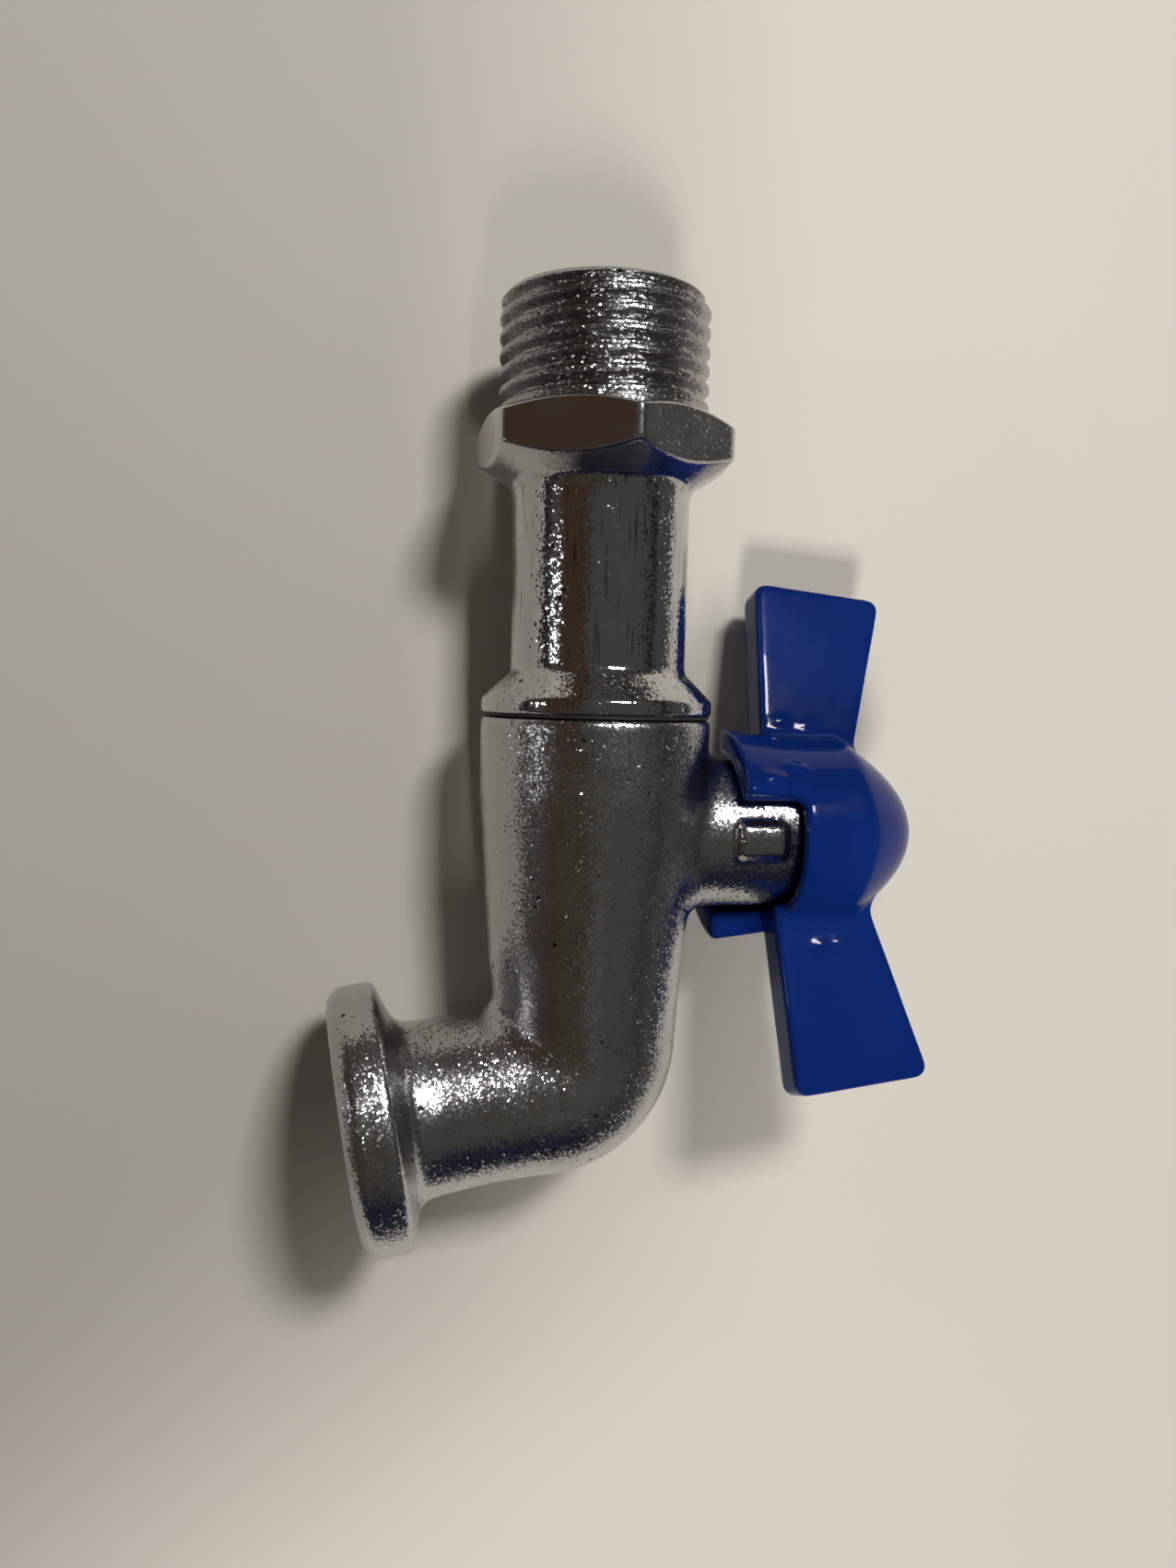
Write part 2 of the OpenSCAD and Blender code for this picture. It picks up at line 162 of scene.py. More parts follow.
def net(field, low, step):
    """A closed quad mesh of the surface where the field is zero, with a vertex in each cell it crosses."""
    inside = field < 0
    cell = tuple(n - 1 for n in field.shape)
    corners = [(a, b, c) for a in (0, 1) for b in (0, 1) for c in (0, 1)]

    def part(array, offset):
        return array[tuple(slice(o, o + n) for o, n in zip(offset, cell))]

    count = sum(part(inside, o).astype(np.int8) for o in corners)
    mixed = (count > 0) & (count < 8)
    index = np.full(cell, -1, np.int64)
    index[mixed] = np.arange(mixed.sum())
    where = np.argwhere(mixed)
    values = np.stack([part(field, o)[mixed] for o in corners], 1)
    total, hits = np.zeros((len(where), 3)), np.zeros(len(where))
    for a in range(8):
        for b in range(a + 1, 8):
            oa, ob = np.array(corners[a]), np.array(corners[b])
            if abs(oa - ob).sum() != 1:
                continue
            va, vb = values[:, a], values[:, b]
            on = (va < 0) != (vb < 0)
            t = np.where(on, va / np.where(on, va - vb, 1), 0)
            total += np.where(on[:, None], oa + t[:, None] * (ob - oa), 0)
            hits += on
    points = low + step * (where + total / hits[:, None])
    quads = []
    for axis in range(3):
        other = [a for a in range(3) if a != axis]
        inner = [slice(None) if a == axis else slice(1, -1) for a in range(3)]
        first, second = list(inner), list(inner)
        first[axis], second[axis] = slice(None, -1), slice(1, None)
        fa, fb = inside[tuple(first)], inside[tuple(second)]
        at = np.argwhere(fa != fb)
        rising = fa[fa != fb]
        cells = []
        for db, dc in ((0, 0), (1, 0), (1, 1), (0, 1)):
            c = at.copy()
            c[:, other[0]] += db
            c[:, other[1]] += dc
            cells.append(index[c[:, 0], c[:, 1], c[:, 2]])
        quad = np.stack(cells, 1)
        if axis == 1:
            rising = ~rising
        quad[~rising] = quad[~rising][:, ::-1]
        quads.append(quad)
    return points, np.concatenate(quads)


def made(name, points, faces, normals=None, place=None):
    """A Blender mesh object from millimetre points. Normals, where given, are the surface's own."""
    if place is not None:
        turn = np.array(place.to_3x3())
        points = points @ turn.T + np.array(place.translation)
        normals = None if normals is None else normals @ turn.T
    mesh = bpy.data.meshes.new(name)
    mesh.vertices.add(len(points))
    mesh.vertices.foreach_set("co", (np.asarray(points) * MM).astype(np.float32).ravel())
    faces = np.asarray(faces)
    mesh.loops.add(faces.size)
    mesh.loops.foreach_set("vertex_index", faces.astype(np.int32).ravel())
    mesh.polygons.add(len(faces))
    mesh.polygons.foreach_set("loop_start", np.arange(0, faces.size, faces.shape[1], dtype=np.int32))
    mesh.polygons.foreach_set("use_smooth", np.ones(len(faces), bool))
    mesh.update()
    mesh.validate()
    if normals is not None:
        mesh.normals_split_custom_set_from_vertices(normals.astype(np.float32))
    obj = bpy.data.objects.new(name, mesh)
    bpy.context.scene.collection.objects.link(obj)
    return obj


def solid(name, low, high, step, distance, sigma, place=None):
    """A mesh of the solid that distance(x, y, z) describes, with its edges rounded by about sigma."""
    low, high = np.array(low, float) - 3 * step, np.array(high, float) + 3 * step
    axes = [np.arange(a, b + step, step, dtype=np.float32) for a, b in zip(low, high)]
    field = distance(*np.meshgrid(*axes, indexing="ij")).astype(np.float32)
    field = blurred(np.clip(field, -4 * sigma - step, 4 * sigma + step), sigma, step)
    points, quads = net(field, low, step)
    for _ in range(3):
        points = points - (sampled(field, low, step, points)[:, None] * slope(field, low, step, points))
    return made(name, points, quads, slope(field, low, step, points), place)


def ripple(x, y, z, length):
    """A slow waviness of the cast surface, from -1 to 1."""
    k = 2 * math.pi / length
    return (np.sin(k * (x + 0.7 * y) + 1.3) * np.sin(k * (y - 0.6 * z) + 0.4)
            + np.sin(k * 1.7 * (z + 0.3 * x) + 2.1) * np.sin(k * 1.4 * (x - 0.8 * y + 0.5 * z))) / 2


# ---------------------------------------------------------------- valve body
def body_distance(x, y, z):
    sin, cos = math.sin(SPOUT_LEAN), math.cos(SPOUT_LEAN)
    setback = BEND_R * math.tan((math.pi / 2 - SPOUT_LEAN) / 2)
    elbow_x = CORNER_X - setback
    u = (x - CORNER_X) * sin - z * cos
    w = (x - CORNER_X) * cos + z * sin
    # barrel, whose lower end sits a little to the side of the handle
    drift = profile(x, [(29, 0), (42, -0.1), (49, -0.4), (55, -0.5), (62, -0.2)])
    barrel_r = profile(x, [(29, BARREL_R), (37.3, 11.6), (42.3, 11.2), (49.3, 10.45), (55.8, 9.87),
                           (62.4, BARREL_END_R)])
    barrel = np.maximum(np.hypot(y, z - drift) - barrel_r, x - elbow_x)
    spout_r = profile(u, [(3.9, 9.2), (7.5, 8.85), (12, 8.65), (16, 8.7), (19, 9.0)])
    pipe = np.maximum(np.hypot(y, w - 0.1) - spout_r, np.maximum(setback - u, u - 22))
    bend_x, bend_z = x - elbow_x, z + BEND_R
    turn = np.arctan2(bend_x, bend_z)
    bend = np.hypot(np.hypot(bend_x, bend_z) - BEND_R + 0.2 * (1 - turn / 1.41), y) - ELBOW_R
    bend = np.where((turn >= 0) & (turn <= math.pi / 2 - SPOUT_LEAN), bend, 9)
    # flange: a back cone, a plain rim and a front chamfer
    rho = np.hypot(y, w)
    flange = outline_distance(u, rho, [
        (FLANGE_BACK, -1), (FLANGE_BACK, 9.2), (FLANGE_BACK + 1.4, FLANGE_R), (SPOUT_LEN - 1.2, FLANGE_R),
        (SPOUT_LEN, FLANGE_R - FLANGE_CHAMFER), (SPOUT_LEN, -1)])
    boss = np.maximum(np.hypot(x - STEM_X, y) - BOSS_R, np.maximum(z - BOSS_H, -z))
    shape = np.minimum(join(barrel, pipe, 1.6), bend)
    shape = join(shape, flange, 0.9)
    shape = join(shape, boss, 1.5)
    lug = np.maximum(abs(x - STEM_X) - LUG_HALF_W, abs(z - LUG_Z) - LUG_HALF_H)
    lug = np.maximum(lug, np.hypot(x - STEM_X, y) - BOSS_R - LUG_RISE)
    shape = join(shape, lug, 0.3)
    shape = np.maximum(shape, BODY_X - x)
    shape = shape - 0.03 * ripple(x, y, z, 7.0) * np.clip((x - BODY_X) / 3, 0, 1)
    # water way
    inlet = np.maximum(np.hypot(y, z) - SPIGOT_R - 0.6, x - STEM_X + CHAMBER_HALF)
    chamber = np.maximum(np.hypot(y, z) - CHAMBER_R, abs(x - STEM_X) - CHAMBER_HALF)
    bore = np.minimum(np.maximum(np.hypot(y, z) - WATER_WAY_R, np.maximum(x - CORNER_X - 2, STEM_X - x)),
                      np.maximum(rho - SPOUT_BORE_R, -1 - u))
    mouth = np.maximum(rho - SPOUT_BORE_R - 1 - (u - SPOUT_LEN), SPOUT_LEN - 1.2 - u)
    stem_hole = np.maximum(np.hypot(x - STEM_X, y) - STEM_HOLE_R, -z)
    pocket = np.maximum(np.hypot(x - STEM_X, y) - STEM_POCKET_R, np.maximum(z - STEM_POCKET_TOP, -z))
    for hole in (inlet, chamber, bore, mouth, stem_hole, pocket):
        shape = np.maximum(shape, -hole)
    return shape


body = solid("body_casting", (BODY_X, -FLANGE_R, -29.5), (84, FLANGE_R, BOSS_H), BODY_STEP,
             body_distance, 0.38)
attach(body, "body")
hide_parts("valve_body")


# ---------------------------------------------------------------- inlet connector
def around(rows, angles):
    """A closed mesh from rows that go once round the wall's section.

    Each row is an x and a radius, which is one number or one for each angle.
    """
    a = np.arange(angles) * 2 * math.pi / angles
    points = np.concatenate([
        np.stack([np.broadcast_to(x, (angles,)), np.broadcast_to(r, (angles,)) * np.cos(a),
                  np.broadcast_to(r, (angles,)) * np.sin(a)], 1)
        for x, r in rows
    ])
    n = len(rows)
    i, j = np.meshgrid(np.arange(n), np.arange(angles), indexing="ij")
    i2, j2 = (i + 1) % n, (j + 1) % angles
    quads = np.stack([i * angles + j, i2 * angles + j, i2 * angles + j2, i * angles + j2], 2).reshape(-1, 4)
    return points, quads[:, ::-1]


def smooth_min(a, b, k):
    h = np.maximum(k - abs(a - b), 0) / k
    return np.minimum(a, b) - h * h * k / 4


def connector_rows(angles):
    """The inlet connector's section, from its mouth along the outside and back through the bore."""
    a = np.arange(angles) * 2 * math.pi / angles

    def thread(x):
        """The helical thread's radius at each angle, fading out at both ends."""
        phase = (x / THREAD_PITCH - a / (2 * math.pi)) % 1
        tooth = abs(2 * phase - 1)
        tooth = np.clip((tooth - 0.16) / 0.66, 0, 1)
        tooth = tooth * tooth * (3 - 2 * tooth)
        deep = THREAD_DEPTH * np.clip((-0.5 - x) / 0.9, 0, 1)
        r = THREAD_R - deep * (1 - tooth)
        return smooth_min(r, THREAD_R - 0.75 + (x - THREAD_END), 0.25)

    def hexagon(x):
        turned = (a + HEX_TURN + math.pi / 6) % (math.pi / 3) - math.pi / 6
        flat = HEX_AF / 2 / np.cos(turned - np.sign(turned) * math.pi / 6)
        corner = HEX_AF / 2 / math.cos(math.pi / 6)
        top = HEX_AF / 2 - 0.25 + x * 1.9
        foot = NECK_R + 0.55 + (HEX_LEN + 2.5 - x) * (corner - NECK_R - 0.55) / 2.5
        r = smooth_min(flat, top, 0.35)
        r = smooth_min(r, foot, 0.5)
        return smooth_min(r, corner - 0.1, 0.3)

    rows = [(THREAD_END, INLET_BORE_R + 0.9), (THREAD_END, 8.6)]
    rows += [(x, thread(x)) for x in np.arange(THREAD_END, -0.05, THREAD_PITCH / 16)]
    rows += [(-0.03, thread(0)), (0.0, thread(0) + 0.06), (0.0, HEX_AF / 2 - 0.9)]
    hexagon_xs = (np.arange(0, 1.2, 0.12), np.arange(1.2, 3.2, 0.4), np.arange(3.2, HEX_END + 0.05, 0.12))
    rows += [(x, hexagon(x)) for x in np.concatenate(hexagon_xs)]
    # the hexagon's cone runs into the neck on a fillet
    base = hexagon(HEX_END)
    for t in np.linspace(0.12, 1, 8):
        rows.append((HEX_END + 1.7 * t, base + (NECK_R - base) * (1 - (1 - t) ** 2)))
    rows += [(x, NECK_R) for x in np.linspace(NECK_START, FLARE_X - 0.5, 16)]
    # the flare is a cone with a small fillet at its foot and a rounded rim
    slant = math.atan2(BARREL_R - NECK_R - 0.2, COLLAR_X - FLARE_X - 0.9)
    for t in np.linspace(0, slant, 7):
        rows.append((FLARE_X + 1.4 * math.sin(t), NECK_R + 1.4 * (1 - math.cos(t))))
    for t in np.linspace(slant, 0, 7):
        rows.append((COLLAR_X + 0.1 - 0.8 * math.sin(t), BARREL_R - 0.8 * (1 - math.cos(t))))
    # the collar's rim, the spigot inside the body, and back along the bore to the mouth
    rows += [(COLLAR_X + 0.4, BARREL_R), (JOINT_X - 0.3, BARREL_R), (JOINT_X - 0.12, BARREL_R - 0.05),
             (JOINT_X, BARREL_R - 0.2), (JOINT_X, SPIGOT_R + 0.3), (JOINT_X + 0.2, SPIGOT_R),
             (SPIGOT_END - 0.2, SPIGOT_R), (SPIGOT_END, SPIGOT_R - 0.2),
             (SPIGOT_END, INLET_BORE_R + 0.2), (SPIGOT_END - 0.2, INLET_BORE_R)]
    rows += [(x, INLET_BORE_R) for x in np.linspace(30, THREAD_END + 1.1, 12)]
    rows += [(THREAD_END + 0.95, INLET_BORE_R + 0.03), (THREAD_END + 0.08, INLET_BORE_R + 0.82)]
    return rows


def by_angle(obj, degrees):
    """Sharp edges where faces meet at more than this angle, smooth elsewhere."""
    mesh = obj.data
    mesh.polygons.foreach_set("use_smooth", np.ones(len(mesh.polygons), bool))
    mesh.set_sharp_from_angle(angle=math.radians(degrees))
    mesh.update()


connector = made("inlet_tail", *around(connector_rows(360), 360))
by_angle(connector, 38)
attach(connector, "body")
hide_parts("inlet_connector")


# ---------------------------------------------------------------- handle
def handle_distance(x, y, z):
    """The handle with its wings along X, before it is turned into place."""
    rho = np.hypot(x, y)
    hub = outline_distance(z, rho, [
        (HUB_Z, -1), (HUB_Z, HUB_R - 0.1), (CONE_Z - 0.4, HUB_R), (CONE_Z + 0.5, HUB_R - 0.5), (28.5, 8.6),
        (29.7, 7.75), (30.9, 6.8), (32.0, 5.8), (33.0, 4.7), (TIP_Z, TIP_R), (TIP_Z, -1)])
    # the skirt's two segments are cut from a tapered sleeve that sits a little off the stem's axis
    sleeve = outline_distance(z, np.hypot(x - 0.45, y - 0.15), [
        (SKIRT_Z, 8.1), (SKIRT_Z, SKIRT_R), (26.0, HUB_R), (26.0, 7.0), (HUB_Z, 7.0), (HUB_Z, 8.1)])
    skirt = np.full_like(x, 9.0)
    for side in (0, math.pi):
        start = side - math.pi / 2 - SKIRT_BACK + math.radians(WING_TURN)
        end = side - math.pi / 2 - SKIRT_FRONT + math.radians(WING_TURN)
        wedge = np.maximum(x * math.sin(start) - y * math.cos(start), y * math.cos(end) - x * math.sin(end))
        skirt = np.minimum(skirt, meet(sleeve, wedge, 0.3))
    cos, sin = math.cos(WING_LEAN), math.sin(WING_LEAN)
    out = abs(x) * cos + (z - WING_Z) * sin
    up = -abs(x) * sin + (z - WING_Z) * cos
    corner = 1.2
    flat = outline_distance(out, up, [
        (4, -WING_ROOT_W / 2 + corner), (WING_REACH - corner, -WING_TIP_W / 2 + corner),
        (WING_REACH + 0.7 - corner, WING_TIP_W / 2 - corner), (4, WING_ROOT_W / 2 - corner)]) - corner
    wing = meet(flat, abs(y) - WING_T / 2, 0.1)
    shape = join(hub, skirt, 0.5)
    shape = join(shape, wing, 1.3)
    shape = shape - 0.012 * ripple(x, y, z, 9.0)
    for bx, by, bz, r in PAINT_BEADS:
        shape = join(shape, np.sqrt((x - bx) ** 2 + (y - by) ** 2 + (0.5 * (z - bz)) ** 2) - r, 0.4)
    recess = np.maximum(rho - BOSS_R - 0.45, z - BOSS_H - 0.3)
    square = np.maximum(np.maximum(abs(x), abs(y)) - STEM_SQUARE / 2, z - STEM_SQUARE_TOP)
    pocket = np.maximum(rho - HEAD_POCKET_R, HEAD_POCKET_Z - z)
    for hole in (recess, square, np.maximum(rho - SCREW_HOLE_R, HUB_Z - z), pocket):
        shape = np.maximum(shape, -hole)
    return shape


def at_stem(turn):
    return Matrix.Translation((STEM_X, 0, 0)) @ Matrix.Rotation(math.radians(turn), 4, "Z")


handle = solid("handle_casting", (-28, -11.8, SKIRT_Z), (28, 12, TIP_Z), HANDLE_STEP, handle_distance, 0.3,
               at_stem(-HANDLE_TURN - WING_TURN))
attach(handle, "handle_stem")
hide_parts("handle")


# ---------------------------------------------------------------- screw, ball and gasket
def screw_distance(x, y, z):
    rho = np.hypot(x, y)
    top = TIP_Z + HEAD_RISE
    dome_r = (HEAD_R ** 2 + HEAD_RISE ** 2) / (2 * HEAD_RISE)
    head = np.maximum(rho - HEAD_R, HEAD_POCKET_Z + 0.7 - z)
    head = meet(head, np.sqrt(x * x + y * y + (z - top + dome_r) ** 2) - dome_r, 0.15)
    shank = np.maximum(rho - 1.45, np.maximum(z - HEAD_POCKET_Z - 1, 22.5 - z))
    cross = np.minimum(np.maximum(abs(x) - 1.4, abs(y) - 0.35), np.maximum(abs(y) - 1.4, abs(x) - 0.35))
    cross = np.maximum(cross + 0.35 * (top - z), top - 0.9 - z)
    return np.maximum(join(head, shank, 0.1), -cross)


screw = solid("tip_screw", (-HEAD_R, -HEAD_R, 22.5), (HEAD_R, HEAD_R, TIP_Z + HEAD_RISE), SCREW_STEP,
              screw_distance, 0.08, at_stem(-HANDLE_TURN))
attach(screw, "handle_stem")
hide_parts("handle_screw")


def ball_distance(x, y, z):
    rho = np.sqrt(x * x + y * y + z * z)
    slot = np.maximum(abs(x) - 1.5, 5.5 - z)
    return np.maximum(np.maximum(rho - BALL_R, -(np.hypot(y, z) - BALL_BORE_R)), -slot)


ball = solid("turning_ball", (-BALL_R,) * 3, (BALL_R,) * 3, BALL_STEP, ball_distance, 0.15,
             at_stem(-HANDLE_TURN))
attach(ball, "handle_stem")
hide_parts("ball")

gasket_rows = [(JOINT_X, SPIGOT_R + 0.8), (JOINT_X, BARREL_R - 0.27), (JOINT_X + 0.05, BARREL_R - 0.21),
               (BODY_X - 0.05, BARREL_R - 0.21), (BODY_X, BARREL_R - 0.27), (BODY_X, SPIGOT_R + 0.8)]
gasket = made("joint_ring", *around(gasket_rows, 180))
by_angle(gasket, 50)
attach(gasket, "body")
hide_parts("joint_gasket")


# ---------------------------------------------------------------- materials
class Nodes:
    """Short ways to add shader nodes to one node tree."""

    def __init__(self, tree):
        self.tree = tree
        tree.nodes.clear()

    def add(self, kind, inputs=(), **settings):
        node = self.tree.nodes.new("ShaderNode" + kind)
        for key, value in settings.items():
            setattr(node, key, value)
        for key, value in dict(inputs).items():
            socket = node.inputs[key]
            if isinstance(value, bpy.types.NodeSocket):
                self.tree.links.new(value, socket)
            else:
                socket.default_value = value
        return node

    def math(self, operation, a, b=0.0):
        return self.add("Math", {0: a, 1: b}, operation=operation).outputs[0]

    def coords(self):
        return self.add("TexCoord").outputs["Object"]

    def part(self, vector, axis):
        return self.add("SeparateXYZ", {0: vector}).outputs[axis]

    def noise(self, scale, detail=2.0, rough=0.5, vector=None):
        return self.add("TexNoise", {"Vector": vector or self.coords(), "Scale": scale, "Detail": detail,
                                     "Roughness": rough}).outputs["Fac"]

    def cells(self, scale, output="Distance"):
        return self.add("TexVoronoi", {"Vector": self.coords(), "Scale": scale}).outputs[output]

    def span(self, value, low, high, to_low=0.0, to_high=1.0):
        """The value's place between low and high, mapped to the span from to_low to to_high."""
        return self.add("MapRange", {"Value": value, "From Min": low, "From Max": high, "To Min": to_low,
                                     "To Max": to_high}).outputs[0]

    def soft(self, value, low, high):
        """A smooth step from 0 at low to 1 at high."""
        return self.add("MapRange", {"Value": value, "From Min": low, "From Max": high},
                        interpolation_type="SMOOTHSTEP").outputs[0]

    def mix(self, factor, a, b):
        return self.add("Mix", {0: factor, 6: a, 7: b}, data_type="RGBA").outputs[2]

    def facets(self, scale, tilt, normal):
        """The normal tilted at random in each small cell, by up to half of tilt and in a few by more."""
        cell = self.cells(scale, output="Color")
        chance = self.part(cell, 2)
        rare = self.math("MULTIPLY", self.math("POWER", chance, 9.0), 3.0)
        reach = self.math("MULTIPLY", self.math("ADD", 1.0, rare), tilt)
        away = self.add("VectorMath", {0: cell, 1: (0.5, 0.5, 0.5)}, operation="SUBTRACT").outputs[0]
        away = self.add("VectorMath", {0: away, "Scale": reach}, operation="SCALE").outputs[0]
        tilted = self.add("VectorMath", {0: normal, 1: away}, operation="ADD").outputs[0]
        return self.add("VectorMath", {0: tilted}, operation="NORMALIZE").outputs[0]

    def bump(self, height, distance, strength=1.0, after=None):
        inputs = {"Height": height, "Distance": distance, "Strength": strength}
        if after is not None:
            inputs["Normal"] = after
        return self.add("Bump", inputs).outputs[0]


def material(name):
    m = bpy.data.materials.new(name)
    m.use_nodes = True
    return m, Nodes(m.node_tree)


def surface(n, **inputs):
    names = {"color": "Base Color", "metallic": "Metallic", "rough": "Roughness", "normal": "Normal",
             "coat": "Coat Weight", "coat_rough": "Coat Roughness", "coat_normal": "Coat Normal",
             "specular": "Specular IOR Level"}
    shader = n.add("BsdfPrincipled", {names[k]: v for k, v in inputs.items()})
    n.add("OutputMaterial", {"Surface": shader.outputs[0]})


def grey(v, warm=0.0):
    return (v * (1 + warm), v, v * (1 - warm), 1)


GRIME = grey(0.03, 0.1)


def chrome(name, pebble, grain, tilt, pits, rough, tone, streak=0.0, worn=()):
    """Plated brass: a bright metal over a cast or turned surface, with pits that hold grime.

    Pebble and streak are bump heights in millimetres. Grain is the scale of the grain, and higher pits leave
    fewer patches of grime. Worn lists stretches that start at the inlet: where each ends, how much more tilt
    and roughness it has, and how much grime covers it.
    """
    m, n = material(name)
    x = n.part(n.coords(), 0)
    wide = n.noise(180, 3)
    hole = n.span(n.cells(700), 0.10, 0.22)
    rare = n.span(n.noise(260, 1), pits, pits + 0.05)
    pit = n.math("MAXIMUM", hole, n.math("SUBTRACT", 1.0, rare))
    bumped = n.bump(n.noise(grain, 2, 0.6), pebble * MM)
    bumped = n.bump(pit, 0.05 * MM, 0.8, bumped)
    bumped = n.bump(wide, 0.06 * MM, 0.35, bumped)
    color = n.mix(n.span(wide, 0.3, 0.7), grey(tone * 0.92), grey(tone, -0.015))
    if streak:
        along = n.add("Mapping", {"Vector": n.coords(), "Scale": (0.08, 1, 1)}).outputs[0]
        lines = n.noise(2600, 2, 0.5, along)
        bumped = n.bump(lines, streak * MM, 1.0, bumped)
        on_neck = n.soft(x, (HEX_END - 0.3) * MM, (HEX_END + 0.3) * MM)
        dark_line = n.math("MULTIPLY", n.span(lines, 0.42, 0.3), on_neck)
        color = n.mix(dark_line, color, grey(tone * 0.45, 0.02))
    rough = n.math("ADD", rough, n.span(wide, 0.35, 0.75, 0, 0.06))
    for end, more_tilt, more_rough, cover in worn:
        before = n.soft(x, (end + 0.3) * MM, (end - 0.3) * MM)
        tilt = n.math("ADD", tilt, n.math("MULTIPLY", before, more_tilt))
        rough = n.math("ADD", rough, n.math("MULTIPLY", before, more_rough))
        color = n.mix(n.math("MULTIPLY", before, cover), color, GRIME)
    surface(n, color=n.mix(pit, GRIME, color), metallic=1.0, rough=rough,
            normal=n.facets(grain, tilt, bumped))
    return m


cast_chrome = chrome("cast_chrome", pebble=0.012, grain=5600, tilt=0.17, pits=0.62, rough=0.19, tone=0.52)
polished_chrome = chrome("polished_chrome", pebble=0.003, grain=5200, tilt=0.1, pits=0.66, rough=0.06,
                         tone=0.56, streak=0.008, worn=((HEX_END, -0.05, 0.1, 0.0), (-0.4, 0.2, 0.06, 0.3)))


def paint():
    """Thick glossy blue paint over a casting."""
    m, n = material("blue_paint")
    skin = n.noise(1500, 2, 0.6)
    color = n.mix(n.span(n.noise(120, 2), 0.35, 0.7), (0.0025, 0.016, 0.13, 1), (0.0035, 0.021, 0.155, 1))
    bumped = n.bump(n.noise(260, 2), 0.05 * MM, 0.25)
    surface(n, color=color, rough=n.span(skin, 0.3, 0.7, 0.16, 0.2), normal=bumped, specular=0.06,
            coat=0.2, coat_rough=0.03, coat_normal=bumped)
    return m


blue_paint = paint()


def plain(name, low, high, rough, metallic=0.0, scale=900, height=0.01):
    """A quiet finish with a little grain, for the small and the hidden pieces."""
    m, n = material(name)
    grain = n.noise(scale, 3, 0.6)
    surface(n, color=n.mix(n.span(grain, 0.3, 0.7), low, high), metallic=metallic,
            rough=n.span(grain, 0.3, 0.7, rough, rough + 0.08), normal=n.bump(grain, height * MM))
    return m


rubber = plain("rubber", grey(0.012), grey(0.025), 0.55)
ptfe = plain("ptfe", grey(0.72, 0.02), grey(0.8, 0.01), 0.4)
brass = plain("brass", (0.62, 0.42, 0.16, 1), (0.72, 0.5, 0.2, 1), 0.2, 1.0, 1800)
steel = plain("screw_steel", grey(0.2, 0.04), grey(0.3, 0.04), 0.3, 1.0, 1500)
ball_chrome = plain("ball_chrome", grey(0.6), grey(0.66), 0.06, 1.0, 1200, 0.002)

for obj, m in ((body, cast_chrome), (connector, polished_chrome), (handle, blue_paint), (screw, steel),
               (ball, ball_chrome), (gasket, rubber)):
    obj.data.materials.append(m)

for node, m in (("seat_inlet", ptfe), ("seat_outlet", ptfe), ("thrust_washer", ptfe), ("stem", brass),
                ("stem_o_ring_lower", rubber), ("stem_o_ring_upper", rubber), ("lock_washer", steel)):
    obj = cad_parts[node]
    obj.data.materials.clear()
    obj.data.materials.append(m)
    by_angle(obj, 30)


# ---------------------------------------------------------------- camera
# The photograph's view: close up, image up is -X and image right is +Z, turned a little both ways.
CAMERA_AT = Vector((27.07, -117.5, -27.66)) * MM
TILT, YAW, ROLL = (math.radians(v) for v in (4.54, 12.92, -0.43))
FOCAL, SENSOR = 27.07, 36.0

upright = Matrix(((0, 0, 1), (-1, 0, 0), (0, -1, 0)))
turned = Matrix.Rotation(ROLL, 3, "Z") @ Matrix.Rotation(YAW, 3, "Y") @ Matrix.Rotation(TILT, 3, "X")
turned = turned @ upright
camera_data = bpy.data.cameras.new("camera")
camera_data.lens, camera_data.sensor_width, camera_data.sensor_fit = FOCAL, SENSOR, "AUTO"
camera_data.clip_start = 0.005
camera = bpy.data.objects.new("camera", camera_data)
camera.matrix_world = Matrix.Translation(CAMERA_AT) @ turned.transposed().to_4x4()
bpy.context.scene.collection.objects.link(camera)
bpy.context.scene.camera = camera
right, image_up, back = (Vector(turned[i]) for i in range(3))


# ---------------------------------------------------------------- floor, light and surroundings
def object_points():
    bpy.context.view_layer.update()
    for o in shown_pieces():
        co = np.zeros(len(o.data.vertices) * 3, np.float32)
        o.data.vertices.foreach_get("co", co)
        yield co.reshape(-1, 3)


# The valve lies on its far side, so the floor is the plane Y = FLOOR_Y. It is clear from behind.
FLOOR_Y = max(float(points[:, 1].max()) for points in object_points()) / MM + 0.1
FLOOR_HALF = 1500
VIEW_MIDDLE = Vector((37.5, FLOOR_Y, 2.5)) * MM
floor_corners = [(x * FLOOR_HALF, FLOOR_Y, z * FLOOR_HALF) for x, z in ((-1, -1), (1, -1), (1, 1), (-1, 1))]
floor = made("floor", np.array(floor_corners), [range(4)])
floor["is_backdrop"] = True


def pale_floor():
    """A plain pale sheet, matt and very slightly uneven in tone."""
    m, n = material("pale_floor")
    cloud = n.span(n.noise(14, 3), 0.3, 0.7)
    color = n.mix(cloud, (0.618, 0.588, 0.535, 1), (0.638, 0.61, 0.56, 1))
    shader = n.add("BsdfPrincipled", {"Base Color": color, "Roughness": 0.6, "Specular IOR Level": 0.3})
    clear = n.add("BsdfTransparent")
    facing = n.add("NewGeometry").outputs["Backfacing"]
    both = n.add("MixShader", {0: facing, 1: shader.outputs[0], 2: clear.outputs[0]})
    n.add("OutputMaterial", {"Surface": both.outputs[0]})
    return m


floor.data.materials.append(pale_floor())


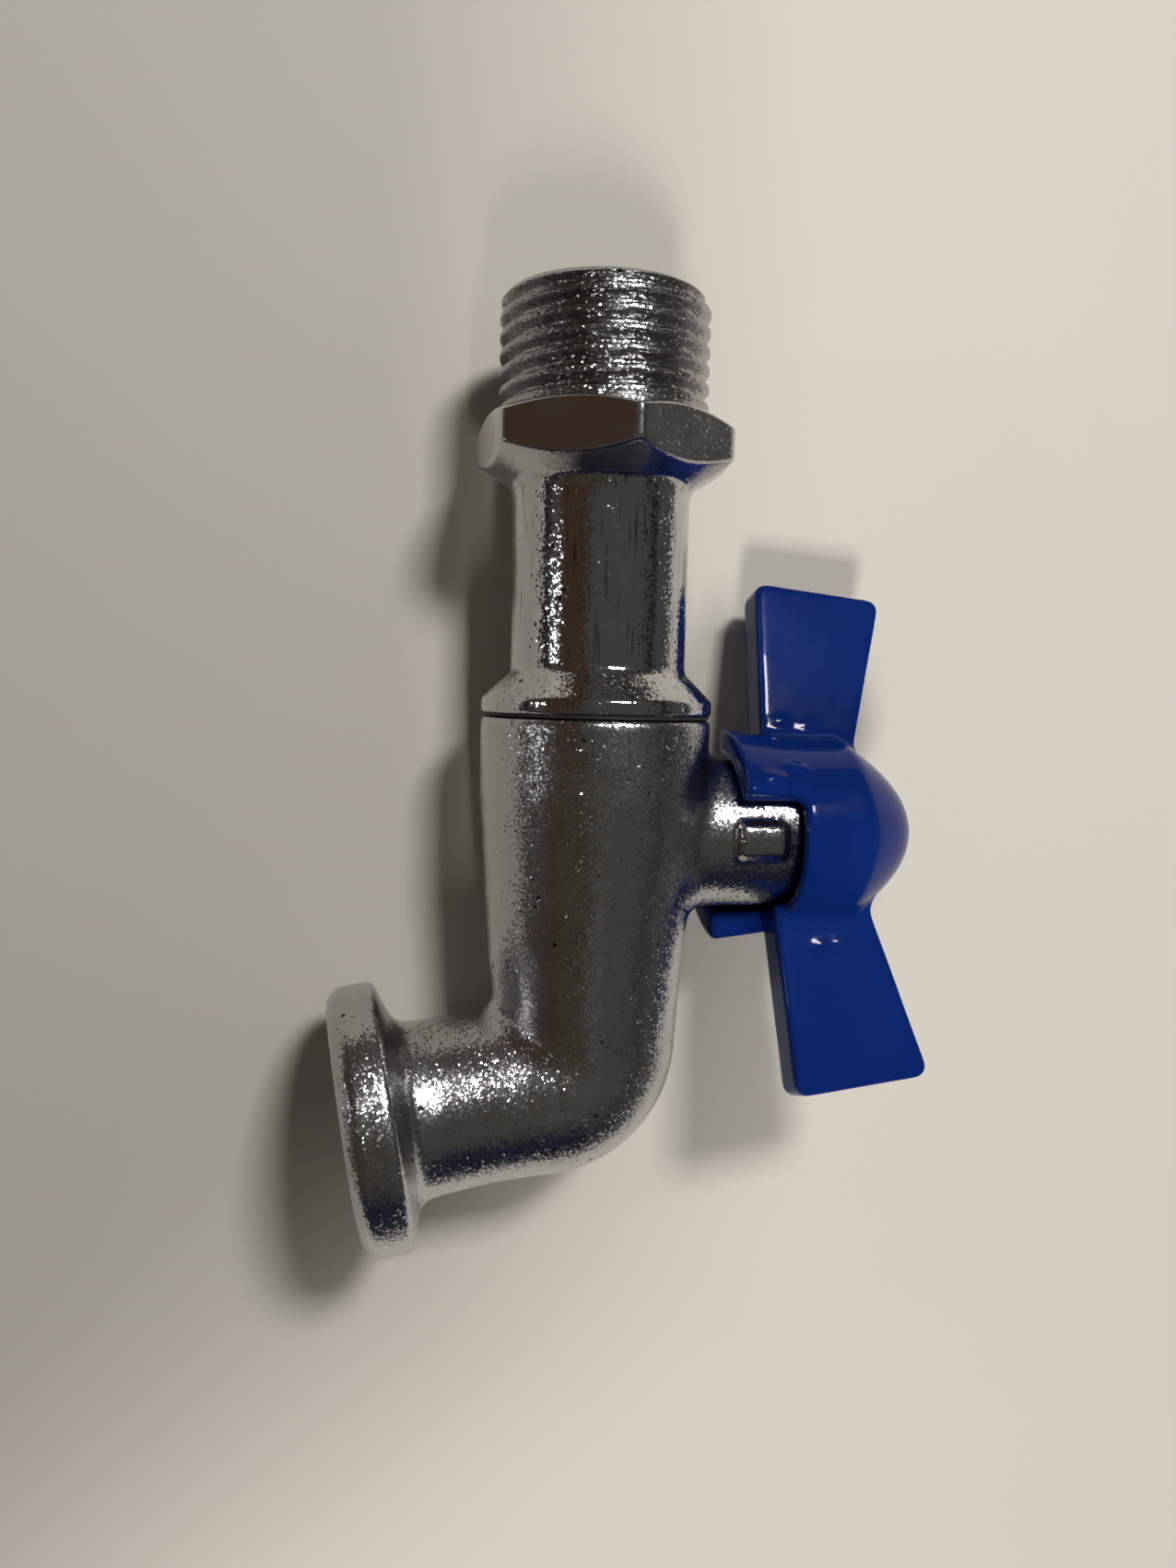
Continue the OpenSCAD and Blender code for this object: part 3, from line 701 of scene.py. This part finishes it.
def view_direction(azimuth, elevation):
    """A direction seen from the valve: degrees to the right of the camera, and above it."""
    a, e = math.radians(azimuth), math.radians(elevation)
    return right * math.sin(a) * math.cos(e) + image_up * math.sin(e) + back * math.cos(a) * math.cos(e)


def lamp(name, azimuth, elevation, distance, power, width, height, color, mirrored=True):
    """A rectangular area light that faces the middle of the view, with lengths in millimetres.

    Returns its place. One that isn't mirrored shows in no glossy reflection.
    """
    data = bpy.data.lights.new(name, "AREA")
    data.energy, data.color = power, color
    data.shape, data.size, data.size_y = "RECTANGLE", width * MM, height * MM
    obj = bpy.data.objects.new(name, data)
    toward = view_direction(azimuth, elevation)
    place = VIEW_MIDDLE + toward * distance * MM
    obj.matrix_world = Matrix.Translation(place) @ toward.to_track_quat("Z", "Y").to_matrix().to_4x4()
    obj.visible_glossy = mirrored
    bpy.context.scene.collection.objects.link(obj)
    return place


lamp("upper", 27, 28, 700, 3.2, 110, 140, (1.0, 0.975, 0.94))
lower = lamp("lower", 5, -42.5, 700, 2.95, 150, 150, (1.0, 0.97, 0.93), mirrored=False)
lamp("glint", 7, -34, 700, 0.007, 34, 40, (1.0, 0.97, 0.93))
lamp("window", -56, 2, 600, 0.08, 20, 110, (0.93, 0.97, 1.0))

# A card over the left of the view shades the floor there softly. Only the camera does not see it.
CARD_SHADOW = ((-85, 1), (40, 4), (84, 9), (97, -11), (122, -49), (150, -88), (150, -150), (-85, -150))
CARD_NEARNESS = 0.24
outline = [Vector((x, FLOOR_Y, z)) * MM for x, z in CARD_SHADOW]
card = made("card", np.array([p.lerp(lower, CARD_NEARNESS) for p in outline]) / MM, [range(len(outline))])
card.visible_camera = False
card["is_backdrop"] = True
card.data.materials.append(plain("card", (0.1, 0.09, 0.06, 1), (0.13, 0.12, 0.09, 1), 0.8, scale=20))


# What the valve reflects, and the backdrop that the camera sees past the floor's edge.
GREY_WALL, BROWN_WALL = (0.08, 0.08, 0.072, 1), (0.062, 0.036, 0.024, 1)
DARK_SIDE, DARK_BELOW = (0.02, 0.018, 0.017, 1), (0.012, 0.014, 0.034, 1)
BACKDROP = (0.6, 0.565, 0.51, 1)


def room():
    """A dim room: a grey middle, a brown patch to the left and darkness at the sides and below."""
    world = bpy.data.worlds.new("room")
    bpy.context.scene.world = world
    world.use_nodes = True
    n = Nodes(world.node_tree)
    toward = n.add("TexCoord").outputs["Generated"]

    def along(direction):
        return n.add("VectorMath", {0: toward, 1: tuple(direction)}, operation="DOT_PRODUCT").outputs["Value"]

    def between(value, low, high, edge):
        rising = n.soft(value, low - edge, low + edge)
        falling = n.soft(value, high + edge, high - edge)
        return n.math("MULTIPLY", rising, falling)

    azimuth = n.math("DEGREES", n.math("ARCTAN2", along(right), along(back)))
    height = along(image_up)
    color = n.mix(between(azimuth, -56, -13, 3), GREY_WALL, BROWN_WALL)
    color = n.mix(n.soft(azimuth, -62, -72), color, DARK_SIDE)
    color = n.mix(between(azimuth, 66, 76, 3), color, DARK_SIDE)
    color = n.mix(n.soft(height, -0.68, -0.86), color, DARK_BELOW)
    seen = n.add("LightPath").outputs["Is Camera Ray"]
    background = n.add("Background", {"Color": n.mix(seen, color, BACKDROP), "Strength": 1.0})
    n.add("OutputWorld", {"Surface": background.outputs[0]})


room()

scene = bpy.context.scene
scene.view_settings.view_transform = "Standard"
scene.view_settings.look = "None"
